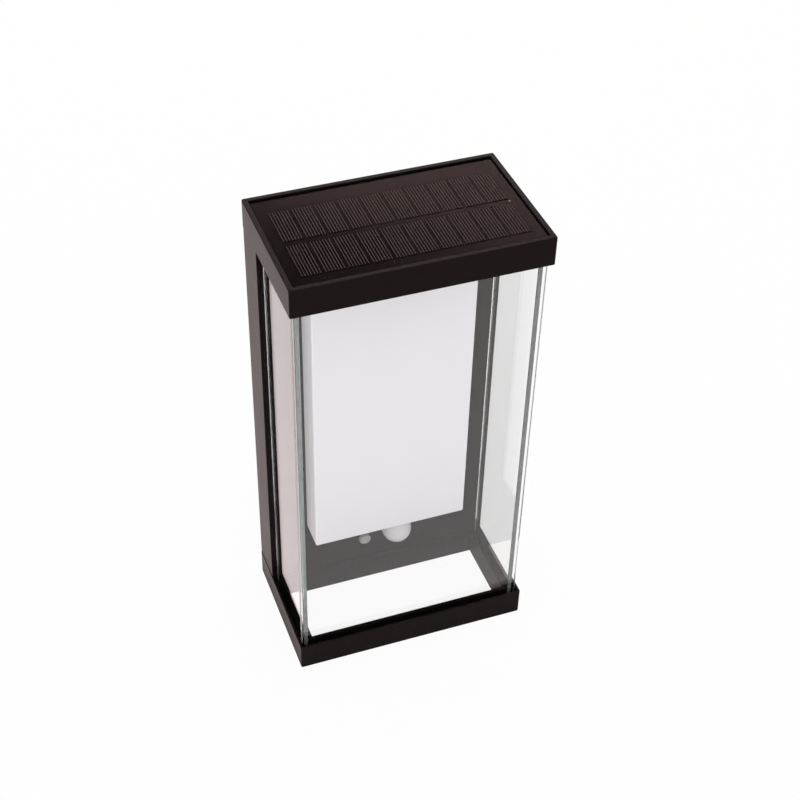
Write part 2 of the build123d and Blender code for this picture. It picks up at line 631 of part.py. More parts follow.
def lower_gasket():
    bed = gasket(FRAME_WALL, SLOT_FLOOR, SLOT_FLOOR + GASKET_HEIGHT)
    for x, y in drain_places():
        bed -= rod(DRAIN_RADIUS, (x, y, SLOT_FLOOR), (x, y, SLOT_FLOOR + GASKET_HEIGHT))
    return bed


def upper_gasket():
    return gasket(CAP_SKIRT, CAP_CEILING - GASKET_HEIGHT, CAP_CEILING)


# Light source
def diffuser():
    box = block(both(DIFFUSER_HALF), (DIFFUSER_FRONT, HOUSING_FRONT), (DIFFUSER_FOOT, DIFFUSER_TOP))
    rear = box.faces().sort_by(Axis.Y)[-1]
    soft_edges = [edge for edge in box.edges() if edge.center().Y < rear.center().Y]
    box = fillet(soft_edges, DIFFUSER_RADIUS)
    wall = DIFFUSER_WALL
    box -= block(both(DIFFUSER_HALF - wall), (DIFFUSER_FRONT + wall, HOUSING_FRONT),
                 (DIFFUSER_FOOT + wall, DIFFUSER_TOP - wall))
    for x, z in diffuser_screw_places():
        box += rod(DIFFUSER_BOSS_RADIUS, (x, DIFFUSER_FRONT + wall, z), (x, HOUSING_FRONT, z))
        box -= pilot(MEDIUM_SCREW, (x, HOUSING_FRONT - SCREW_BITE - PILOT_SPARE, z), (x, HOUSING_FRONT, z))
    return box


def led_board():
    board = block(both(LED_BOARD_HALF), (LED_BOARD_FACE, HOUSING_FRONT), (LED_BOARD_FOOT, LED_BOARD_TOP))
    for x, z in led_screw_places():
        board -= hole(SMALL_SCREW, (x, LED_BOARD_FACE, z), (x, HOUSING_FRONT, z))
    return board


def leds():
    columns = int((2 * (LED_BOARD_HALF - LED_MARGIN)) // LED_PITCH) + 1
    rows = int((LED_BOARD_TOP - LED_BOARD_FOOT - 2 * LED_MARGIN) // LED_PITCH) + 1
    face = Pos(0, LED_BOARD_FACE, (LED_BOARD_FOOT + LED_BOARD_TOP) / 2) * Rot(90, 0, 0)
    led = Box(LED_WIDTH, LED_HEIGHT, LED_THICKNESS, align=(Align.CENTER, Align.CENTER, Align.MIN))
    return group([face * place * led for place in GridLocations(LED_PITCH, LED_PITCH, columns, rows)])


# Motion sensor and mode button
def pir_lens():
    """A domed lens with a skirt through the housing's wall and a flange behind it, turned about its axis."""
    inner = LENS_RADIUS - LENS_WALL
    flange = LENS_RADIUS + LENS_FLANGE
    shoulder = -HOUSING_WALL
    rear = shoulder - LENS_FLANGE_THICKNESS
    dome = CenterArc((0, 0), LENS_RADIUS, 0, 90)
    hollow = CenterArc((0, 0), inner, 0, 90)
    tip = Line((0, LENS_RADIUS), (0, inner))
    skirt = Polyline((inner, 0), (inner, rear), (flange, rear), (flange, shoulder), (LENS_RADIUS, shoulder),
                     (LENS_RADIUS, 0))
    profile = make_face([dome, tip, hollow, skirt])
    foot = (LENS_X, HOUSING_FRONT, SENSOR_ROW)
    ahead = Plane(origin=foot, x_dir=(1, 0, 0), z_dir=(0, 0, -1))
    return revolve(ahead * profile, Axis(foot, (0, -1, 0)))


def pir_sensor():
    front = (LENS_X, SENSOR_BOARD_FRONT - SENSOR_CAN_HEIGHT, SENSOR_ROW)
    return rod(SENSOR_CAN_RADIUS, front, (LENS_X, SENSOR_BOARD_FRONT, SENSOR_ROW))


def sensor_board():
    board = block(both(SENSOR_BOARD_WIDTH / 2), (SENSOR_BOARD_FRONT, SENSOR_BOARD_FACE),
                  (SENSOR_BOARD_FOOT, SENSOR_BOARD_TOP))
    for x, z in sensor_screw_places():
        board -= hole(SMALL_SCREW, (x, SENSOR_BOARD_FRONT, z), (x, SENSOR_BOARD_FACE, z))
    return board


def mode_button():
    front = (BUTTON_X, HOUSING_FRONT - BUTTON_PROUD, BUTTON_ROW)
    flange_front = (BUTTON_X, BUTTON_FLANGE_FRONT, BUTTON_ROW)
    rear = (BUTTON_X, BUTTON_REAR, BUTTON_ROW)
    stem = rod(BUTTON_RADIUS, front, flange_front)
    stem = fillet(stem.edges().group_by(Axis.Y)[0], BUTTON_ROUND)
    return stem + rod(BUTTON_RADIUS + BUTTON_FLANGE, flange_front, rear)


def switch_plunger():
    rear = SWITCH_FRONT + PLUNGER_DEPTH
    return rod(PLUNGER_RADIUS, (BUTTON_X, BUTTON_REAR, BUTTON_ROW), (BUTTON_X, rear, BUTTON_ROW))


def button_seal():
    face = (BUTTON_X, INNER_FRONT, BUTTON_ROW)
    rear = (BUTTON_X, BUTTON_FLANGE_FRONT, BUTTON_ROW)
    washer = rod(BUTTON_RADIUS + BUTTON_FLANGE, face, rear)
    return washer - rod(BUTTON_RADIUS + BUTTON_CLEARANCE, face, rear)


def push_switch():
    half = SWITCH_SIDE / 2
    body = block((BUTTON_X - half, BUTTON_X + half), (SWITCH_FRONT, SENSOR_BOARD_FRONT),
                 (BUTTON_ROW - half, BUTTON_ROW + half))
    well = SWITCH_FRONT + PLUNGER_DEPTH + BUTTON_TRAVEL + BUTTON_CLEARANCE
    mouth = (BUTTON_X, SWITCH_FRONT, BUTTON_ROW)
    return body - rod(PLUNGER_RADIUS + BUTTON_CLEARANCE, mouth, (BUTTON_X, well, BUTTON_ROW))


# Control board and battery
def control_board():
    board = block(both(CONTROL_WIDTH / 2), (CONTROL_FRONT, CONTROL_FACE), (CONTROL_FOOT, CONTROL_TOP))
    for x, z in control_screw_places():
        board -= hole(SMALL_SCREW, (x, CONTROL_FRONT, z), (x, CONTROL_FACE, z))
    return board


def control_components():
    """Chips and capacitors that stand on the control board's rear face."""
    def chip(x, rise, width, thickness, height):
        standing = (Align.CENTER, Align.MIN, Align.CENTER)
        return Pos(x, CONTROL_FACE, CONTROL_ROW + rise) * Box(width, thickness, height, align=standing)

    def capacitor(x):
        foot = (x, CONTROL_FACE, CONTROL_ROW)
        return rod(CAPACITOR_RADIUS, foot, (x, CONTROL_FACE + CAPACITOR_HEIGHT, CONTROL_ROW))

    return group([chip(0, CHARGER_RISE, CHARGER_WIDTH, CHIP_THICKNESS, CHARGER_HEIGHT),
                  chip(DRIVER_X, DRIVER_RISE, DRIVER_SIDE, CHIP_THICKNESS, DRIVER_SIDE),
                  chip(INDUCTOR_X, INDUCTOR_RISE, INDUCTOR_SIDE, INDUCTOR_THICKNESS, INDUCTOR_SIDE),
                  capacitor(-CAPACITOR_X), capacitor(CAPACITOR_X)])


def connector(x, face, z):
    """A plug-in lead connector that stands on a board's rear face."""
    return block((x - CONNECTOR_WIDTH / 2, x + CONNECTOR_WIDTH / 2), (face, face + CONNECTOR_DEPTH), z)


def lead_connectors():
    upper = (CONTROL_TOP - CONNECTOR_EDGE - CONNECTOR_HEIGHT, CONTROL_TOP - CONNECTOR_EDGE)
    lower = (CONTROL_FOOT + CONNECTOR_EDGE, CONTROL_FOOT + CONNECTOR_EDGE + CONNECTOR_HEIGHT)
    sensor = (SENSOR_BOARD_TOP - CONNECTOR_EDGE - CONNECTOR_HEIGHT, SENSOR_BOARD_TOP - CONNECTOR_EDGE)
    on_control = [connector(side * LEAD_X, CONTROL_FACE, row) for row in (upper, lower) for side in (-1, 1)]
    return group(on_control + [connector(SENSOR_LEAD_X, SENSOR_BOARD_FACE, sensor)])


def battery_cell():
    half = BATTERY_LENGTH / 2
    end = (half, INNER_MIDDLE, BATTERY_ROW)
    cell = rod(BATTERY_DIAMETER / 2, (-half, INNER_MIDDLE, BATTERY_ROW), end)
    cell = fillet(cell.edges().filter_by(GeomType.CIRCLE), EDGE_RADIUS)
    return cell + rod(NUB_RADIUS, end, (half + NUB_HEIGHT, INNER_MIDDLE, BATTERY_ROW))


def battery_holder():
    depth = (INNER_FRONT, INNER_FRONT + HOLDER_DEPTH)
    rows = (BATTERY_ROW - HOLDER_HALF_HEIGHT, HOLDER_TOP)
    holder = block(both(HOLDER_HALF), depth, rows)
    holder -= block(both(HOLDER_ROOM), depth, (rows[0] + HOLDER_WALL, rows[1] - HOLDER_WALL))
    ear_depth = (INNER_FRONT, INNER_FRONT + HOLDER_EAR_THICKNESS)
    ear_rows = (BATTERY_ROW - HOLDER_EAR_HEIGHT / 2, BATTERY_ROW + HOLDER_EAR_HEIGHT / 2)
    for side in (-1, 1):
        x = sorted((side * HOLDER_HALF, side * (HOLDER_HALF + HOLDER_EAR)))
        holder += block(x, ear_depth, ear_rows)
    for x, z in holder_screw_places():
        holder -= hole(SMALL_SCREW, (x, ear_depth[0], z), (x, ear_depth[1], z))
    return holder


def battery_contacts():
    """A flat plate with a pip at the cell's nub, and a plate with a pressed dome at its flat end."""
    y = (INNER_MIDDLE - CONTACT_WIDTH / 2, INNER_MIDDLE + CONTACT_WIDTH / 2)
    z = (BATTERY_ROW - CONTACT_WIDTH / 2, BATTERY_ROW + CONTACT_WIDTH / 2)
    inner = HOLDER_ROOM - CONTACT_SHEET
    plus = block((inner, HOLDER_ROOM), y, z)
    nub_end = BATTERY_LENGTH / 2 + NUB_HEIGHT
    plus += rod(NUB_RADIUS, (nub_end, INNER_MIDDLE, BATTERY_ROW), (inner, INNER_MIDDLE, BATTERY_ROW))
    minus = block((-HOLDER_ROOM, -inner), y, z)
    dome_height = inner - BATTERY_LENGTH / 2
    pressed = Cone(CONTACT_DOME, NUB_RADIUS, dome_height, align=(Align.CENTER, Align.CENTER, Align.MIN))
    minus += Plane(origin=(-inner, INNER_MIDDLE, BATTERY_ROW), z_dir=(1, 0, 0)) * pressed
    return group([plus, minus])


# Leads
def lead(points):
    """A round lead through the points, with each bend as wide as its two runs allow."""
    corners = [Vector(*point) for point in points]
    radii = []
    for before, corner, after in zip(corners, corners[1:], corners[2:]):
        arriving = corner - before
        leaving = after - corner
        half_turn = math.radians(arriving.get_angle(leaving)) / 2
        radii.append(BEND_SHARE * min(arriving.length, leaving.length) / math.tan(half_turn))
    print("lead bend radii:", [round(radius, 1) for radius in radii])
    path = FilletPolyline(*corners, radius=radii) if radii else Line(*corners)
    start = Plane(origin=corners[0], z_dir=path % 0)
    return sweep(start * Circle(LEAD_RADIUS), path=path)


def solar_lead():
    foot = CONTROL_TOP - CONNECTOR_EDGE
    upper, lower = [foot + share * (BOARD_FOOT - foot) for share in SOLAR_LEAD_BENDS]
    return lead([(SOLAR_LEAD_X, CONNECTOR_MIDDLE, BOARD_FOOT),
                 (SOLAR_LEAD_X, CONNECTOR_MIDDLE, upper),
                 (-LEAD_X, CONNECTOR_MIDDLE, lower),
                 (-LEAD_X, CONNECTOR_MIDDLE, foot)])


def led_lead():
    return lead([(LEAD_X, HOUSING_FRONT, LED_LEAD_ROW),
                 (LEAD_X, CONNECTOR_MIDDLE, LED_LEAD_ROW),
                 (LEAD_X, CONNECTOR_MIDDLE, CONTROL_TOP - CONNECTOR_EDGE)])


def battery_lead():
    return lead([(LEAD_X, CONNECTOR_MIDDLE, HOLDER_TOP),
                 (LEAD_X, CONNECTOR_MIDDLE, CONTROL_FOOT + CONNECTOR_EDGE)])


def sensor_lead():
    start = SENSOR_BOARD_TOP - CONNECTOR_EDGE
    end = CONTROL_FOOT + CONNECTOR_EDGE
    bypass = -(HOLDER_HALF + SENSOR_LEAD_BYPASS)
    first, second, third, fourth = [start + share * (end - start) for share in SENSOR_LEAD_BENDS]
    return lead([(SENSOR_LEAD_X, SENSOR_CONNECTOR_MIDDLE, start),
                 (SENSOR_LEAD_X, SENSOR_CONNECTOR_MIDDLE, first),
                 (bypass, CONNECTOR_MIDDLE, second),
                 (bypass, CONNECTOR_MIDDLE, third),
                 (-LEAD_X, CONNECTOR_MIDDLE, fourth),
                 (-LEAD_X, CONNECTOR_MIDDLE, end)])


def lead_grommet():
    wall_foot = (SOLAR_LEAD_X, CONNECTOR_MIDDLE, INNER_TOP)
    wall_top = raised(wall_foot, HOUSING_WALL)
    foot = raised(wall_foot, -GROMMET_LIP)
    top = raised(wall_top, GROMMET_LIP)
    ring = rod(GROMMET_RADIUS - GASKET_CLEARANCE, wall_foot, wall_top)
    ring += rod(GROMMET_RADIUS + GROMMET_LIP, wall_top, top)
    ring += rod(GROMMET_RADIUS + GROMMET_LIP, foot, wall_foot)
    return ring - rod(LEAD_RADIUS + GASKET_CLEARANCE, foot, top)


# Screws
def cap_screws():
    return group([screw(LARGE_SCREW, (x, y, INNER_TOP), (0, 0, 1), HOUSING_WALL + SCREW_BITE)
                  for x, y in seat_screw_places()])


def frame_screws():
    seat = FOOT + COUNTERBORE_DEPTH
    length = FRAME_TOP - seat + SCREW_BITE
    return group([screw(LARGE_SCREW, (x, y, seat), (0, 0, 1), length) for x, y in seat_screw_places()])


def cover_screws():
    return group([screw(MEDIUM_SCREW, (x, COVER_REAR, z), (0, -1, 0), COVER_THICKNESS + SCREW_BITE)
                  for x, z in cover_screw_places()])


def diffuser_screws():
    return group([screw(MEDIUM_SCREW, (x, INNER_FRONT, z), (0, -1, 0), HOUSING_WALL + SCREW_BITE)
                  for x, z in diffuser_screw_places()])


def led_board_screws():
    return group([screw(SMALL_SCREW, (x, LED_BOARD_FACE, z), (0, 1, 0), LED_BOARD + HOUSING_WALL)
                  for x, z in led_screw_places()])


def control_board_screws():
    length = CONTROL_FACE - INNER_FRONT
    return group([screw(SMALL_SCREW, (x, CONTROL_FACE, z), (0, -1, 0), length)
                  for x, z in control_screw_places()])


def sensor_board_screws():
    length = SENSOR_BOARD_FACE - INNER_FRONT
    return group([screw(SMALL_SCREW, (x, SENSOR_BOARD_FACE, z), (0, -1, 0), length)
                  for x, z in sensor_screw_places()])


def battery_holder_screws():
    seat = INNER_FRONT + HOLDER_EAR_THICKNESS
    return group([screw(SMALL_SCREW, (x, seat, z), (0, -1, 0), HOLDER_EAR_THICKNESS + HOUSING_WALL)
                  for x, z in holder_screw_places()])


PIECES = {
    "wall_bracket": wall_bracket(),
    "rear_cover": rear_cover(),
    "rear_cover_seal": rear_cover_seal(),
    "rear_housing": rear_housing(),
    "bottom_frame": bottom_frame(),
    "top_cap": top_cap(),
    "solar_tape": solar_tape(),
    "solar_board": solar_board(),
    "solar_cells": cell_grid(),
    "solar_film": solar_film(),
    "front_glass": glass(front_pane()),
    "left_glass": glass(side_pane(-1)),
    "right_glass": glass(side_pane(1)),
    "lower_gasket": lower_gasket(),
    "upper_gasket": upper_gasket(),
    "diffuser": diffuser(),
    "led_board": led_board(),
    "leds": leds(),
    "pir_lens": pir_lens(),
    "pir_sensor": pir_sensor(),
    "sensor_board": sensor_board(),
    "mode_button": mode_button(),
    "switch_plunger": switch_plunger(),
    "button_seal": button_seal(),
    "push_switch": push_switch(),
    "control_board": control_board(),
    "control_components": control_components(),
    "lead_connectors": lead_connectors(),
    "battery_cell": battery_cell(),
    "battery_holder": battery_holder(),
    "battery_contacts": battery_contacts(),
    "solar_lead": solar_lead(),
    "led_lead": led_lead(),
    "battery_lead": battery_lead(),
    "sensor_lead": sensor_lead(),
    "lead_grommet": lead_grommet(),
    "cap_screws": cap_screws(),
    "frame_screws": frame_screws(),
    "cover_screws": cover_screws(),
    "diffuser_screws": diffuser_screws(),
    "led_board_screws": led_board_screws(),
    "control_board_screws": control_board_screws(),
    "sensor_board_screws": sensor_board_screws(),
    "battery_holder_screws": battery_holder_screws(),
}

os.makedirs("parts", exist_ok=True)
for name, shape in PIECES.items():
    export_step(shape, f"parts/{name}.step")
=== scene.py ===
"""Looks of the solar wall light: materials on its CAD nodes, the panel's finger lines, light and camera."""
import bmesh
import bpy
from math import radians
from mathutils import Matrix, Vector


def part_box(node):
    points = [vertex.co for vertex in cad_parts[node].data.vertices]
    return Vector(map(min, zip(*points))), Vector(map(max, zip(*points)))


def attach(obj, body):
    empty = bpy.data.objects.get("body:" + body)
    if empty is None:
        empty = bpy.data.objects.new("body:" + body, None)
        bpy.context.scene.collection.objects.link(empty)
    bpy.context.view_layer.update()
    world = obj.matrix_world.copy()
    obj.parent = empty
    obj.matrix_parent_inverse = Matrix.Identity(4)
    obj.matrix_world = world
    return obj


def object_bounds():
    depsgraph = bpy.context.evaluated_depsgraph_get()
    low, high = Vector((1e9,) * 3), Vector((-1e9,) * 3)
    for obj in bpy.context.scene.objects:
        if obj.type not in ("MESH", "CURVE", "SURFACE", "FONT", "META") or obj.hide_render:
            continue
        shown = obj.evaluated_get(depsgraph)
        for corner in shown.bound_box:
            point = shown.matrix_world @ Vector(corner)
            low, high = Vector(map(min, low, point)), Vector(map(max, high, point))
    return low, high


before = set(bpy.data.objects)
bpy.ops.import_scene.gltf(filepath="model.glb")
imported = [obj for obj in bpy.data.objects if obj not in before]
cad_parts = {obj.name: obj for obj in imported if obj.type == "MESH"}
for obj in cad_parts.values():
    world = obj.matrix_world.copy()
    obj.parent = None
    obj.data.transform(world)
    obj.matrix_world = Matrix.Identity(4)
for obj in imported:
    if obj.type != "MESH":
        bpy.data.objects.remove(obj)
cad_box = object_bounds()

MM = 0.001

# Camera that was fitted to the photo's straight edges, in metres, degrees and mm of lens
CAMERA_PLACE = (-0.24519, -0.69099, 0.56424)
CAMERA_DIP = 41.64
CAMERA_HEADING = -18.8
CAMERA_LENS = 68.73
CAMERA_SENSOR = 36.0
CAMERA_SHIFT = (0.0590, 0.0276)

# Solar cells and the finger lines printed on them, in mm
CELL_COLUMNS = 10
CELL_ROWS = 2
CELL_PITCH = 13.1
CELL_ROW_PITCH = 32.8
FINGERS = 7
FINGER_PITCH = 1.7
FINGER_SIZE = (0.17, 28.2, 0.02)
SOLDER_RADIUS = 0.5
SOLDER_HEIGHT = 0.04
SOLDER_SIDES = 24

# Patterns of the lens and of the circuit boards, in mm
LENS_FACET = 4.2
TRACK_STEP = 5.0

# Floor and world; white seen by the camera and through glass has strength 1
WHITE = (1.0, 1.0, 1.0)
WARM_WHITE = (1.0, 0.86, 0.85)
AMBIENT = 0.95
FLOOR_LEVEL = cad_box[0].z
FLOOR_GLOW = 0.95
FLOOR_REACH = 6.0
GLOSS_GLOW = 0.4

# Lamps, in metres, degrees and watts; the low one lies just above the floor and faces up
LOW_LAMP_LIFT = 0.001
LAMPS = {
    "front_lamp": {"place": (0.1, -1.7, 0.5), "turn": (75, 0, 0), "size": (1.5, 1.5),
                   "watts": 5.5, "colour": (1.0, 0.99, 1.0)},
    "rear_lamp": {"place": (0.43, 1.24, 0.845), "turn": (60, 11, 158), "size": (0.8, 0.28),
                  "watts": 3.4, "colour": (1.0, 0.80, 0.79)},
    "left_lamp": {"place": (-1.3, -0.15, 0.35), "turn": (0, -100, 0), "size": (1.4, 1.6),
                  "watts": 2.0, "colour": WARM_WHITE},
    "low_lamp": {"place": (-0.238, 0.17, FLOOR_LEVEL + LOW_LAMP_LIFT), "turn": (180, 0, 0),
                 "size": (0.32, 0.56), "watts": 0.22, "colour": (1.0, 0.74, 0.71)},
}


class Value:
    """A node's output that takes part in arithmetic: each step adds a Math node."""

    def __init__(self, nodes, socket):
        self.nodes = nodes
        self.socket = socket

    def step(self, operation, first, second):
        return self.nodes.node("ShaderNodeMath", {"operation": operation}, {0: first, 1: second})

    def __add__(self, other):
        return self.step("ADD", self, other)

    def __radd__(self, other):
        return self.step("ADD", other, self)

    def __sub__(self, other):
        return self.step("SUBTRACT", self, other)

    def __rsub__(self, other):
        return self.step("SUBTRACT", other, self)

    def __mul__(self, other):
        return self.step("MULTIPLY", self, other)

    def __rmul__(self, other):
        return self.step("MULTIPLY", other, self)

    def most(self, other):
        return self.step("MAXIMUM", self, other)

    def size(self):
        return self.step("ABSOLUTE", self, 0.0)


class Nodes:
    """A node tree whose nodes all come from one method."""

    def __init__(self, tree):
        self.tree = tree
        self.tree.nodes.clear()

    def node(self, kind, settings=None, inputs=None, output=0):
        """Adds a node with its settings first, then its values or links, and gives one of its outputs."""
        made = self.tree.nodes.new(kind)
        for name, setting in (settings or {}).items():
            setattr(made, name, setting)
        for name, entry in (inputs or {}).items():
            if isinstance(entry, Value):
                self.tree.links.new(entry.socket, made.inputs[name])
            else:
                made.inputs[name].default_value = entry
        return Value(self, made.outputs[output]) if made.outputs else None

    def ray(self, kind):
        """1 where the light path is of this kind, such as Camera or Glossy."""
        return self.node("ShaderNodeLightPath", output=f"Is {kind} Ray")


def full_colour(entry):
    """A colour's three numbers with an alpha of 1, or a link as it is."""
    return entry if isinstance(entry, Value) else (*entry, 1.0)


class Finish(Nodes):
    """A material in the making; patterns are sized in mm on the object's own coordinates."""

    def __init__(self, name):
        self.material = bpy.data.materials.new(name)
        self.material.use_nodes = True
        super().__init__(self.material.node_tree)
        self.place = self.node("ShaderNodeTexCoord", output="Object")

    def stretched(self, scale):
        """The coordinates, scaled along each axis."""
        inputs = {"Vector": self.place, "Scale": scale}
        return self.node("ShaderNodeMapping", {"vector_type": "POINT"}, inputs)

    def noise(self, size, detail=2.0, place=None):
        inputs = {"Vector": place or self.place, "Scale": 1 / (size * MM), "Detail": detail}
        return self.node("ShaderNodeTexNoise", None, inputs, "Fac")

    def pebbles(self, size):
        """Rounded grains: 1 at each grain's middle, falling to its rim."""
        inputs = {"Vector": self.place, "Scale": 1 / (size * MM), "Smoothness": 0.6}
        distance = self.node("ShaderNodeTexVoronoi", {"feature": "SMOOTH_F1"}, inputs, "Distance")
        return 1 - distance

    def flakes(self, size):
        """One random number for each crystal of this size."""
        inputs = {"Vector": self.place, "Scale": 1 / (size * MM)}
        colour = self.node("ShaderNodeTexVoronoi", None, inputs, "Color")
        return self.node("ShaderNodeSeparateColor", None, {0: colour}, "Red")

    def facing(self, name):
        """How squarely a face looks along an axis, from 0 to 1."""
        normal = self.node("ShaderNodeNewGeometry", output="Normal")
        return self.node("ShaderNodeSeparateXYZ", None, {0: normal}, name).size()

    def between(self, value, low, high):
        """0 below the low value, 1 above the high one."""
        inputs = {"Value": value, "From Min": low, "From Max": high}
        return self.node("ShaderNodeMapRange", {"clamp": True}, inputs)

    def blend(self, share, first, second):
        """A colour between two others; a Mix node has colours at its inputs 6 and 7 and its output 2."""
        inputs = {0: share, 6: full_colour(first), 7: full_colour(second)}
        return self.node("ShaderNodeMix", {"data_type": "RGBA", "clamp_factor": True}, inputs, 2)

    def rounded(self, radius):
        """The normal that the surface has with its edges rounded by this many mm."""
        return self.node("ShaderNodeBevel", {"samples": 4}, {"Radius": radius * MM})

    def edges(self, radius):
        """1 along the sharp edges, fading over this many mm."""
        soft = self.rounded(radius)
        sharp = self.node("ShaderNodeNewGeometry", output="Normal")
        alike = self.node("ShaderNodeVectorMath", {"operation": "DOT_PRODUCT"}, {0: soft, 1: sharp}, "Value")
        return self.between(alike, 0.995, 0.8)

    def bump(self, height, depth, strength, rounding=0.0):
        """A normal pushed about by a height from 0 to 1, this many mm deep."""
        inputs = {"Height": height, "Distance": depth * MM, "Strength": strength}
        if rounding:
            inputs["Normal"] = self.rounded(rounding)
        return self.node("ShaderNodeBump", None, inputs)

    def shader(self, **inputs):
        """A Principled shader; a colour is given as three numbers or a link, and _ stands for a space."""
        entries = {}
        for name, entry in inputs.items():
            name = name.replace("_", " ")
            entries[name] = full_colour(entry) if name in ("Base Color", "Specular Tint") else entry
        return self.node("ShaderNodeBsdfPrincipled", None, entries)

    def plain(self, kind, colour):
        """A Diffuse or Transparent shader."""
        return self.node("ShaderNodeBsdf" + kind, None, {"Color": full_colour(colour)})

    def mixed(self, share, first, second):
        """A shader between two others."""
        return self.node("ShaderNodeMixShader", None, {0: share, 1: first, 2: second})

    def done(self, shader):
        self.node("ShaderNodeOutputMaterial", None, {"Surface": shader})
        return self.material


# Finishes of the outside
def powder_coat():
    """Sand-textured black powder coat, a little thinner and smoother along the edges, with a painted
    highlight there.
    """
    coat = Finish("powder_coat")
    grains = coat.pebbles(1.4)
    dust = coat.noise(0.25, detail=3)
    cloud = coat.noise(30)
    edges = coat.edges(0.5)
    colour = coat.blend(cloud, (0.0056, 0.0036, 0.0036), (0.0085, 0.0057, 0.0056))
    colour = coat.blend(grains * 0.3, colour, (0.0115, 0.0084, 0.0082))
    # painted highlight: the edges are lightened to stand in for the light caught along them; the lower
    # roughness there is the smoother coat
    colour = coat.blend(edges * 0.35, colour, (0.040, 0.032, 0.031))
    roughness = 0.23 + 0.10 * dust + 0.06 * cloud - 0.04 * edges
    normal = coat.bump(grains * 0.8 + dust * 0.2, 0.17, 0.9, rounding=0.25)
    return coat.done(coat.shader(
        Base_Color=colour, Roughness=roughness, Specular_IOR_Level=0.045, Specular_Tint=(1.0, 0.78, 0.76),
        Normal=normal))


def pane_glass(name, face_axis):
    """Clear flat glass with greenish ground edges; lamps and soft light pass straight through it."""
    glass = Finish(name)
    edge = glass.between(glass.facing(face_axis), 0.8, 0.3)
    smudges = glass.between(glass.noise(22, detail=4), 0.45, 0.75)
    specks = glass.between(glass.pebbles(9), 0.9, 0.96)
    grinding = glass.noise(2.2, detail=4, place=glass.stretched((1.0, 1.0, 0.4)))
    ground = glass.blend(grinding, (0.50, 0.74, 0.65), (0.80, 0.93, 0.88))
    tint = glass.blend(edge, (0.992, 0.994, 0.993), ground)
    roughness = 0.004 + 0.012 * smudges + 0.02 * specks + edge * (0.02 + 0.14 * grinding)
    body = glass.shader(Base_Color=tint, Roughness=roughness, IOR=1.47, Transmission_Weight=1.0)
    chalky = glass.plain("Diffuse", (0.80, 0.92, 0.87))
    body = glass.mixed(edge * (0.02 + 0.26 * grinding), body, chalky)
    clear = glass.plain("Transparent", (0.95, 0.95, 0.95))
    return glass.done(glass.mixed(glass.ray("Shadow").most(glass.ray("Diffuse")), body, clear))


def opal_plastic():
    """White opal diffuser: light spreads inside it, with a fine silk skin."""
    opal = Finish("opal_plastic")
    haze = opal.noise(45)
    silk = opal.noise(0.22, detail=3)
    colour = opal.blend(haze, (0.852, 0.845, 0.875), (0.882, 0.876, 0.90))
    roughness = 0.36 + 0.12 * silk
    return opal.done(opal.shader(
        Base_Color=colour, Roughness=roughness, Subsurface_Weight=0.2, Subsurface_Scale=0.003,
        Subsurface_Radius=(1.0, 0.95, 0.9), Normal=opal.bump(silk, 0.012, 0.3)))


def sensor_lens():
    """Milky lens of the motion sensor, with the faint facets moulded into it."""
    lens = Finish("sensor_lens")
    facets = lens.node("ShaderNodeTexVoronoi", {"feature": "DISTANCE_TO_EDGE"},
                       {"Vector": lens.place, "Scale": 1 / (LENS_FACET * MM)}, "Distance")
    lines = lens.between(facets, 0.05, 0.0)
    cloud = lens.noise(6)
    colour = lens.blend(cloud, (0.77, 0.765, 0.765), (0.81, 0.805, 0.805))
    colour = lens.blend(lines * 0.4, colour, (0.60, 0.61, 0.62))
    roughness = 0.26 + 0.12 * cloud + 0.1 * lines
    normal = lens.bump(1 - lines, 0.05, 0.5)
    return lens.done(lens.shader(
        Base_Color=colour, Roughness=roughness, Subsurface_Weight=0.35, Subsurface_Scale=0.002,
        Subsurface_Radius=(1.0, 1.0, 1.0), Normal=normal))


def button_plastic():
    """Translucent button, mottled in patches, with its rim lightened as a painted highlight."""
    button = Finish("button_plastic")
    mottling = button.noise(1.2, detail=3)
    rim = button.edges(0.6)
    skin = button.noise(0.3)
    colour = button.blend(button.between(mottling, 0.35, 0.65), (0.28, 0.28, 0.285), (0.48, 0.475, 0.485))
    # painted highlight: the rim is lightened to stand in for the light caught along it
    colour = button.blend(rim * 0.8, colour, (0.60, 0.595, 0.605))
    roughness = 0.22 + 0.18 * mottling
    return button.done(button.shader(
        Base_Color=colour, Roughness=roughness, Subsurface_Weight=0.4, Subsurface_Scale=0.002,
        Subsurface_Radius=(1.0, 1.0, 1.0), Normal=button.bump(skin, 0.01, 0.4)))


# Finishes of the solar panel
def panel_board():
    """Dark laminate behind the cells, with the faint weave of its backing."""
    board = Finish("panel_board")
    cloud = board.noise(35)
    weave = board.noise(0.5, detail=1, place=board.stretched((1.0, 0.3, 1.0)))
    colour = board.blend(cloud, (0.0016, 0.0010, 0.0010), (0.0030, 0.0020, 0.0019))
    colour = board.blend(weave * 0.25, colour, (0.0056, 0.0040, 0.0038))
    return board.done(board.shader(
        Base_Color=colour, Roughness=0.11 + 0.05 * weave, Specular_IOR_Level=0.028,
        Specular_Tint=(1.0, 0.70, 0.68)))


def silicon_cell():
    """Near-black silicon whose tone drifts from cell to cell, with a fine crystal sheen."""
    cell = Finish("silicon_cell")
    crystals = cell.flakes(3.0)
    tone = cell.noise(14, detail=0)
    colour = cell.blend(tone, (0.0014, 0.0009, 0.0010), (0.0028, 0.0020, 0.0021))
    colour = cell.blend(crystals * 0.25, colour, (0.0050, 0.0040, 0.0042))
    roughness = 0.12 + 0.08 * crystals
    return cell.done(cell.shader(
        Base_Color=colour, Roughness=roughness, Specular_IOR_Level=0.02, Specular_Tint=(1.0, 0.70, 0.69)))


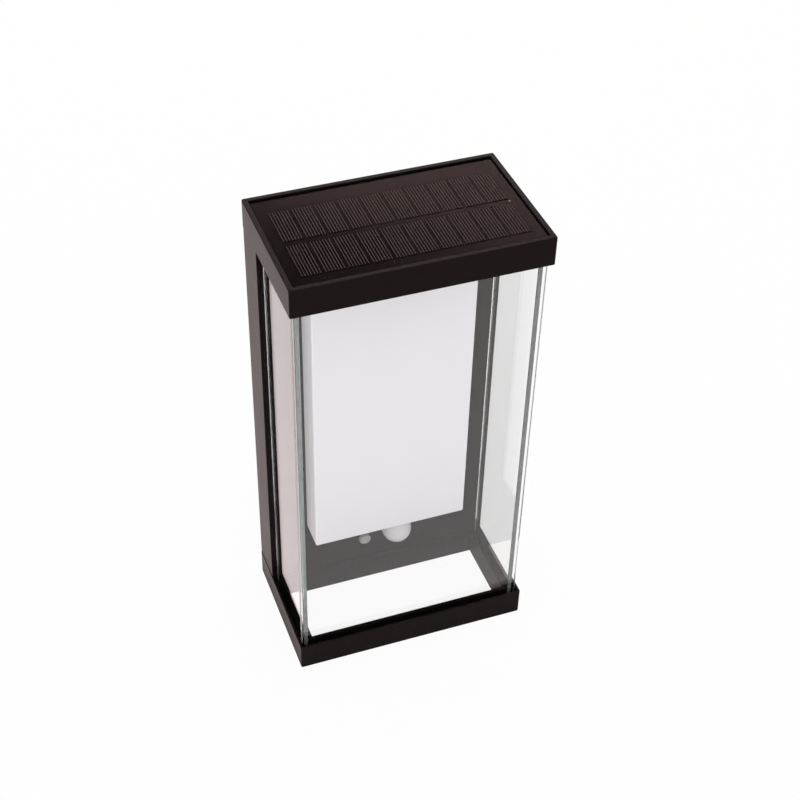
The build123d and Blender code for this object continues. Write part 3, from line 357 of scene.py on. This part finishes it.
def finger_silver():
    """Printed silver paste, slightly uneven along each line."""
    silver = Finish("finger_silver")
    print_run = silver.noise(1.4, detail=3)
    colour = silver.blend(print_run, (0.092, 0.076, 0.075), (0.148, 0.124, 0.122))
    return silver.done(silver.shader(
        Base_Color=colour, Roughness=0.42 + 0.2 * print_run, Metallic=0.35 + 0.2 * print_run,
        Normal=silver.bump(print_run, 0.004, 0.5)))


def solder_tin():
    """Dull tin of a solder spot, mottled by its grain."""
    tin = Finish("solder_tin")
    grain = tin.noise(0.2, detail=3)
    colour = tin.blend(grain, (0.26, 0.22, 0.21), (0.42, 0.37, 0.36))
    return tin.done(tin.shader(
        Base_Color=colour, Roughness=0.4 + 0.2 * grain, Metallic=0.6, Normal=tin.bump(grain, 0.01, 0.4)))


def laminate_film():
    """Clear, faintly warm film over the cells, with a few specks of dust where it was not wiped."""
    film = Finish("laminate_film")
    unwiped = film.between(film.noise(26, detail=3, place=film.stretched((0.35, 1.0, 1.0))), 0.4, 0.7)
    dust = film.between(film.noise(0.9, detail=2), 0.68, 0.82)
    haze = film.plain("Diffuse", (0.80, 0.70, 0.68))
    clear = film.plain("Transparent", (0.97, 0.94, 0.935))
    inside = film.node("ShaderNodeNewGeometry", output="Backfacing")
    share = 0.05 * unwiped * dust * (1 - inside)
    return film.done(film.mixed(share, clear, haze))


# Finishes of the wall side and of what lies inside
def zinc_sheet():
    """Zinc-plated sheet steel with a faint spangle and rolling lines."""
    zinc = Finish("zinc_sheet")
    spangle = zinc.flakes(3.5)
    rolling = zinc.noise(0.35, detail=2, place=zinc.stretched((0.04, 1.0, 1.0)))
    edges = zinc.edges(0.4)
    colour = zinc.blend(spangle, (0.46, 0.47, 0.485), (0.58, 0.59, 0.60))
    colour = zinc.blend(edges * 0.5, colour, (0.72, 0.72, 0.72))
    roughness = 0.30 + 0.14 * spangle + 0.10 * rolling
    return zinc.done(zinc.shader(
        Base_Color=colour, Roughness=roughness, Metallic=1.0,
        Normal=zinc.bump(rolling, 0.01, 0.35, rounding=0.2)))


def screw_zinc():
    """Bright zinc on the screws, dulled in patches."""
    zinc = Finish("screw_zinc")
    dull = zinc.noise(1.1, detail=3)
    turned = zinc.noise(0.25)
    colour = zinc.blend(dull, (0.40, 0.405, 0.40), (0.60, 0.605, 0.60))
    return zinc.done(zinc.shader(
        Base_Color=colour, Roughness=0.26 + 0.22 * dull, Metallic=1.0,
        Normal=zinc.bump(turned, 0.008, 0.4, rounding=0.12)))


def moulded_plastic(name, dark, light, grain_size=0.45, grain_depth=0.02):
    """Matt moulded plastic: an eroded mould skin, slow flow marks and edges rubbed a little lighter."""
    plastic = Finish(name)
    skin = plastic.noise(grain_size, detail=3)
    flow = plastic.noise(18, detail=2)
    edges = plastic.edges(0.35)
    colour = plastic.blend(flow * 0.7 + skin * 0.3, dark, light)
    rubbed = tuple(min(1.0, part * 1.3 + 0.012) for part in light)
    colour = plastic.blend(edges * 0.5, colour, rubbed)
    roughness = 0.46 + 0.16 * skin - 0.06 * edges
    normal = plastic.bump(skin, grain_depth, 0.6, rounding=0.15)
    return plastic.done(plastic.shader(Base_Color=colour, Roughness=roughness, Normal=normal))


def soft_rubber(name, dark, light):
    """Matt rubber with a bloom of fine dust."""
    rubber = Finish(name)
    bloom = rubber.noise(7, detail=4)
    skin = rubber.noise(0.3)
    colour = rubber.blend(bloom, dark, light)
    return rubber.done(rubber.shader(
        Base_Color=colour, Roughness=0.66 + 0.18 * bloom, Specular_IOR_Level=0.35,
        Normal=rubber.bump(skin, 0.015, 0.5)))


def circuit_board(name, mask_colour, track_colour):
    """Solder mask over copper tracks that run in steps, with bare fibre at the edges."""
    board = Finish(name)
    steps = board.node("ShaderNodeTexVoronoi", {"feature": "F1", "distance": "CHEBYCHEV"},
                       {"Vector": board.place, "Scale": 1 / (TRACK_STEP * MM)}, "Distance")
    rings = board.node("ShaderNodeMath", {"operation": "PINGPONG"}, {0: steps, 1: 0.12})
    tracks = board.between(rings, 0.085, 0.095)
    gloss = board.noise(0.6, detail=2)
    edge = board.between(board.facing("Y"), 0.8, 0.5)
    colour = board.blend(tracks, mask_colour, track_colour)
    colour = board.blend(edge, colour, (0.42, 0.36, 0.20))
    return board.done(board.shader(
        Base_Color=colour, Roughness=0.26 + 0.16 * gloss + 0.3 * edge, Normal=board.bump(tracks, 0.03, 0.5)))


def led_package():
    """White package with a yellow phosphor window on its front."""
    led = Finish("led_package")
    window = led.between(led.facing("Y"), 0.8, 0.95)
    phosphor = led.noise(0.5, detail=3)
    yellow = led.blend(phosphor, (0.72, 0.55, 0.08), (0.86, 0.70, 0.16))
    colour = led.blend(window, (0.82, 0.82, 0.80), yellow)
    return led.done(led.shader(
        Base_Color=colour, Roughness=0.25 + 0.2 * phosphor, Normal=led.bump(phosphor, 0.01, 0.4)))


def plated_can():
    """Nickel-plated sensor can with its dark window on the front."""
    can = Finish("plated_can")
    front = can.between(can.facing("Y"), 0.9, 0.97)
    draw_lines = can.noise(0.3, detail=2, place=can.stretched((1.0, 0.05, 1.0)))
    colour = can.blend(draw_lines, (0.55, 0.545, 0.52), (0.68, 0.675, 0.65))
    colour = can.blend(front * 0.6, colour, (0.16, 0.15, 0.15))
    return can.done(can.shader(
        Base_Color=colour, Roughness=0.22 + 0.18 * draw_lines, Metallic=1.0,
        Normal=can.bump(draw_lines, 0.006, 0.4)))


def cell_sleeve():
    """Plain blue shrink sleeve, wrinkled along the cell, with bare nickel at both ends."""
    sleeve = Finish("cell_sleeve")
    wrinkles = sleeve.noise(1.6, detail=2, place=sleeve.stretched((0.12, 1.0, 1.0)))
    end = sleeve.between(sleeve.facing("X"), 0.85, 0.95)
    colour = sleeve.blend(wrinkles, (0.035, 0.10, 0.27), (0.06, 0.15, 0.36))
    colour = sleeve.blend(end, colour, (0.62, 0.60, 0.55))
    return sleeve.done(sleeve.shader(
        Base_Color=colour, Roughness=0.24 + 0.16 * wrinkles, Metallic=end * 0.95,
        Normal=sleeve.bump(wrinkles, 0.05, 0.5)))


def spring_contact():
    """Nickel-plated spring steel with rubbed streaks."""
    nickel = Finish("spring_contact")
    rubbed = nickel.noise(1.8, detail=4, place=nickel.stretched((1.0, 1.0, 0.3)))
    colour = nickel.blend(rubbed, (0.50, 0.475, 0.42), (0.68, 0.655, 0.60))
    return nickel.done(nickel.shader(
        Base_Color=colour, Roughness=0.2 + 0.25 * rubbed, Metallic=1.0,
        Normal=nickel.bump(rubbed, 0.01, 0.4)))


def dress(material, *names):
    """Puts a material on CAD nodes."""
    for name in names:
        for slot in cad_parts[name].material_slots:
            slot.material = material


def dress_light():
    """Gives every CAD node its finish."""
    black_rubber = soft_rubber("black_rubber", (0.010, 0.010, 0.010), (0.022, 0.022, 0.022))
    black_part = moulded_plastic("black_component", (0.014, 0.014, 0.015), (0.028, 0.028, 0.029))
    green_board = circuit_board("green_board", (0.012, 0.115, 0.045), (0.025, 0.19, 0.075))
    dress(powder_coat(), "rear_housing", "bottom_frame", "top_cap")
    dress(pane_glass("front_pane_glass", "Y"), "front_glass")
    dress(pane_glass("side_pane_glass", "X"), "left_glass", "right_glass")
    dress(opal_plastic(), "diffuser")
    dress(sensor_lens(), "pir_lens")
    dress(button_plastic(), "mode_button")
    dress(panel_board(), "solar_board")
    dress(silicon_cell(), "solar_cells")
    dress(laminate_film(), "solar_film")
    dress(zinc_sheet(), "wall_bracket")
    dress(moulded_plastic("cover_plastic", (0.015, 0.0145, 0.0142), (0.027, 0.0265, 0.026)), "rear_cover")
    dress(black_rubber, "rear_cover_seal", "lower_gasket", "upper_gasket", "button_seal", "lead_grommet")
    dress(soft_rubber("foam_tape", (0.014, 0.014, 0.014), (0.03, 0.03, 0.03)), "solar_tape")
    dress(circuit_board("white_board", (0.78, 0.78, 0.76), (0.84, 0.84, 0.83)), "led_board")
    dress(led_package(), "leds")
    dress(green_board, "sensor_board", "control_board")
    dress(plated_can(), "pir_sensor")
    dress(black_part, "control_components", "push_switch", "switch_plunger", "battery_holder")
    dress(moulded_plastic("connector_plastic", (0.70, 0.67, 0.58), (0.78, 0.76, 0.68), 0.35, 0.012),
          "lead_connectors")
    dress(cell_sleeve(), "battery_cell")
    dress(spring_contact(), "battery_contacts")
    dress(soft_rubber("lead_sheath", (0.013, 0.013, 0.013), (0.026, 0.026, 0.026)),
          "solar_lead", "led_lead", "battery_lead", "sensor_lead")
    dress(screw_zinc(), "cap_screws", "frame_screws", "cover_screws", "diffuser_screws", "led_board_screws",
          "control_board_screws", "sensor_board_screws", "battery_holder_screws")


def add_object(name, content):
    """Adds an object that holds a mesh, a lamp or a camera to the scene."""
    made = bpy.data.objects.new(name, content)
    bpy.context.scene.collection.objects.link(made)
    return made


def mesh_of(name, shape, material):
    """A mesh with one material from a bmesh shape, which is freed."""
    mesh = bpy.data.meshes.new(name)
    shape.to_mesh(mesh)
    shape.free()
    mesh.materials.append(material)
    return mesh


# Finger lines and solder spot of the cells
def finger_tree():
    """Bars in a row on each cell, and a cell at each point of a grid."""
    tree = bpy.data.node_groups.new("finger_lines", "GeometryNodeTree")
    kinds = (("Columns", "Int"), ("Rows", "Int"), ("Columns Span", "Float"), ("Rows Span", "Float"),
             ("Fingers", "Int"), ("First Finger", "Vector"), ("Finger Step", "Vector"),
             ("Finger Size", "Vector"), ("Panel Middle", "Vector"), ("Silver", "Material"))
    for name, kind in kinds:
        tree.interface.new_socket(name, in_out="INPUT", socket_type="NodeSocket" + kind)
    tree.interface.new_socket("Lines", in_out="OUTPUT", socket_type="NodeSocketGeometry")
    lines = Nodes(tree)

    def given(name):
        return lines.node("NodeGroupInput", output=name)

    bar = lines.node("GeometryNodeMeshCube", None, {"Size": given("Finger Size")})
    row = lines.node("GeometryNodeMeshLine", {"mode": "OFFSET", "count_mode": "TOTAL"}, {
        "Count": given("Fingers"), "Start Location": given("First Finger"), "Offset": given("Finger Step")})
    fingers = lines.node("GeometryNodeInstanceOnPoints", None, {"Points": row, "Instance": bar})
    grid = lines.node("GeometryNodeMeshGrid", None, {
        "Size X": given("Columns Span"), "Size Y": given("Rows Span"),
        "Vertices X": given("Columns"), "Vertices Y": given("Rows")})
    cells = lines.node("GeometryNodeInstanceOnPoints", None, {"Points": grid, "Instance": fingers})
    moved = lines.node("GeometryNodeTransform", None, {
        "Geometry": cells, "Translation": given("Panel Middle")})
    solid = lines.node("GeometryNodeRealizeInstances", None, {"Geometry": moved})
    coated = lines.node("GeometryNodeSetMaterial", None, {"Geometry": solid, "Material": given("Silver")})
    lines.node("NodeGroupOutput", None, {"Lines": coated})
    return tree


def finger_lines():
    """All the finger lines as one plain mesh that rides on the light."""
    low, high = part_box("solar_cells")
    middle = (low + high) / 2
    sizes = {
        "Columns": CELL_COLUMNS,
        "Rows": CELL_ROWS,
        "Columns Span": (CELL_COLUMNS - 1) * CELL_PITCH * MM,
        "Rows Span": (CELL_ROWS - 1) * CELL_ROW_PITCH * MM,
        "Fingers": FINGERS,
        "First Finger": (-(FINGERS - 1) / 2 * FINGER_PITCH * MM, 0.0, 0.0),
        "Finger Step": (FINGER_PITCH * MM, 0.0, 0.0),
        "Finger Size": tuple(length * MM for length in FINGER_SIZE),
        "Panel Middle": (middle.x, middle.y, high.z + FINGER_SIZE[2] / 2 * MM),
        "Silver": finger_silver(),
    }
    tree = finger_tree()
    maker = add_object("finger_maker", bpy.data.meshes.new("finger_maker"))
    modifier = maker.modifiers.new("finger_lines", "NODES")
    modifier.node_group = tree
    for item in tree.interface.items_tree:
        if item.in_out == "INPUT":
            modifier[item.identifier] = sizes[item.name]
    maker.update_tag()
    view = bpy.context.evaluated_depsgraph_get()
    mesh = bpy.data.meshes.new_from_object(maker.evaluated_get(view))
    maker.modifiers.remove(modifier)
    bpy.data.objects.remove(maker)
    piece = add_object("cell_fingers", mesh)
    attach(piece, "light")


def solder_dot():
    """The solder spot at the right end of the gap between the two rows of cells."""
    low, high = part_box("solar_cells")
    middle = (low + high) / 2
    bead = bmesh.new()
    bmesh.ops.create_cone(bead, cap_ends=True, segments=SOLDER_SIDES, radius1=SOLDER_RADIUS * MM,
                          radius2=SOLDER_RADIUS * MM, depth=SOLDER_HEIGHT * MM)
    bmesh.ops.translate(bead, verts=bead.verts, vec=(high.x, middle.y, low.z + SOLDER_HEIGHT / 2 * MM))
    piece = add_object("solder_dot", mesh_of("solder_dot", bead, solder_tin()))
    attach(piece, "light")


# Studio
def seen_white(nodes, gloss):
    """How much of the white background a ray sees: all of it from the camera and through glass."""
    return nodes.ray("Camera").most(nodes.ray("Transmission")).most(gloss * nodes.ray("Glossy"))


def white_floor():
    """A pale floor that is white to the camera and through glass, and warmer in a glossy mirror."""
    floor = Finish("studio_floor")
    tone = floor.noise(400)
    colour = floor.blend(tone, (0.84, 0.82, 0.82), (0.86, 0.84, 0.84))
    paper = floor.plain("Diffuse", colour)
    mirrored = floor.ray("Glossy") * (1 - floor.ray("Transmission"))
    white = floor.blend(mirrored, WHITE, WARM_WHITE)
    glow = floor.node("ShaderNodeEmission", None, {"Color": white, "Strength": 1.0})
    share = FLOOR_GLOW * seen_white(floor, GLOSS_GLOW)
    material = floor.done(floor.mixed(share, paper, glow))
    sheet = bmesh.new()
    bmesh.ops.create_grid(sheet, x_segments=1, y_segments=1, size=FLOOR_REACH)
    bmesh.ops.translate(sheet, verts=sheet.verts, vec=(0.0, 0.0, FLOOR_LEVEL))
    piece = add_object("studio_floor", mesh_of("studio_floor", sheet, material))


def white_world():
    """An even white sky."""
    world = bpy.data.worlds.new("studio")
    world.use_nodes = True
    bpy.context.scene.world = world
    sky = Nodes(world.node_tree)
    strength = AMBIENT + (1 - AMBIENT) * seen_white(sky, 1.0)
    white = sky.node("ShaderNodeBackground", None, {"Color": full_colour(WHITE), "Strength": strength})
    sky.node("ShaderNodeOutputWorld", None, {"Surface": white})


def soft_lamp(name, place, turn, size, watts, colour):
    """A flat lamp that is mirrored in gloss, but not seen directly or through glass."""
    lamp = bpy.data.lights.new(name, "AREA")
    lamp.shape = "RECTANGLE"
    lamp.size = size[0]
    lamp.size_y = size[1]
    lamp.energy = watts
    lamp.color = colour
    holder = add_object(name, lamp)
    holder.location = place
    holder.rotation_euler = [radians(angle) for angle in turn]
    holder.visible_camera = False
    holder.visible_transmission = False


def studio():
    white_floor()
    white_world()
    for name, lamp in LAMPS.items():
        soft_lamp(name, **lamp)


def photo_camera():
    lens = bpy.data.cameras.new("photo_camera")
    lens.lens = CAMERA_LENS
    lens.sensor_width = CAMERA_SENSOR
    lens.shift_x = CAMERA_SHIFT[0]
    lens.shift_y = CAMERA_SHIFT[1]
    camera = add_object("photo_camera", lens)
    camera.location = CAMERA_PLACE
    camera.rotation_euler = (radians(90 - CAMERA_DIP), 0, radians(CAMERA_HEADING))
    bpy.context.scene.camera = camera


dress_light()
finger_lines()
solder_dot()
studio()
photo_camera()
bpy.context.scene.view_settings.view_transform = "Standard"
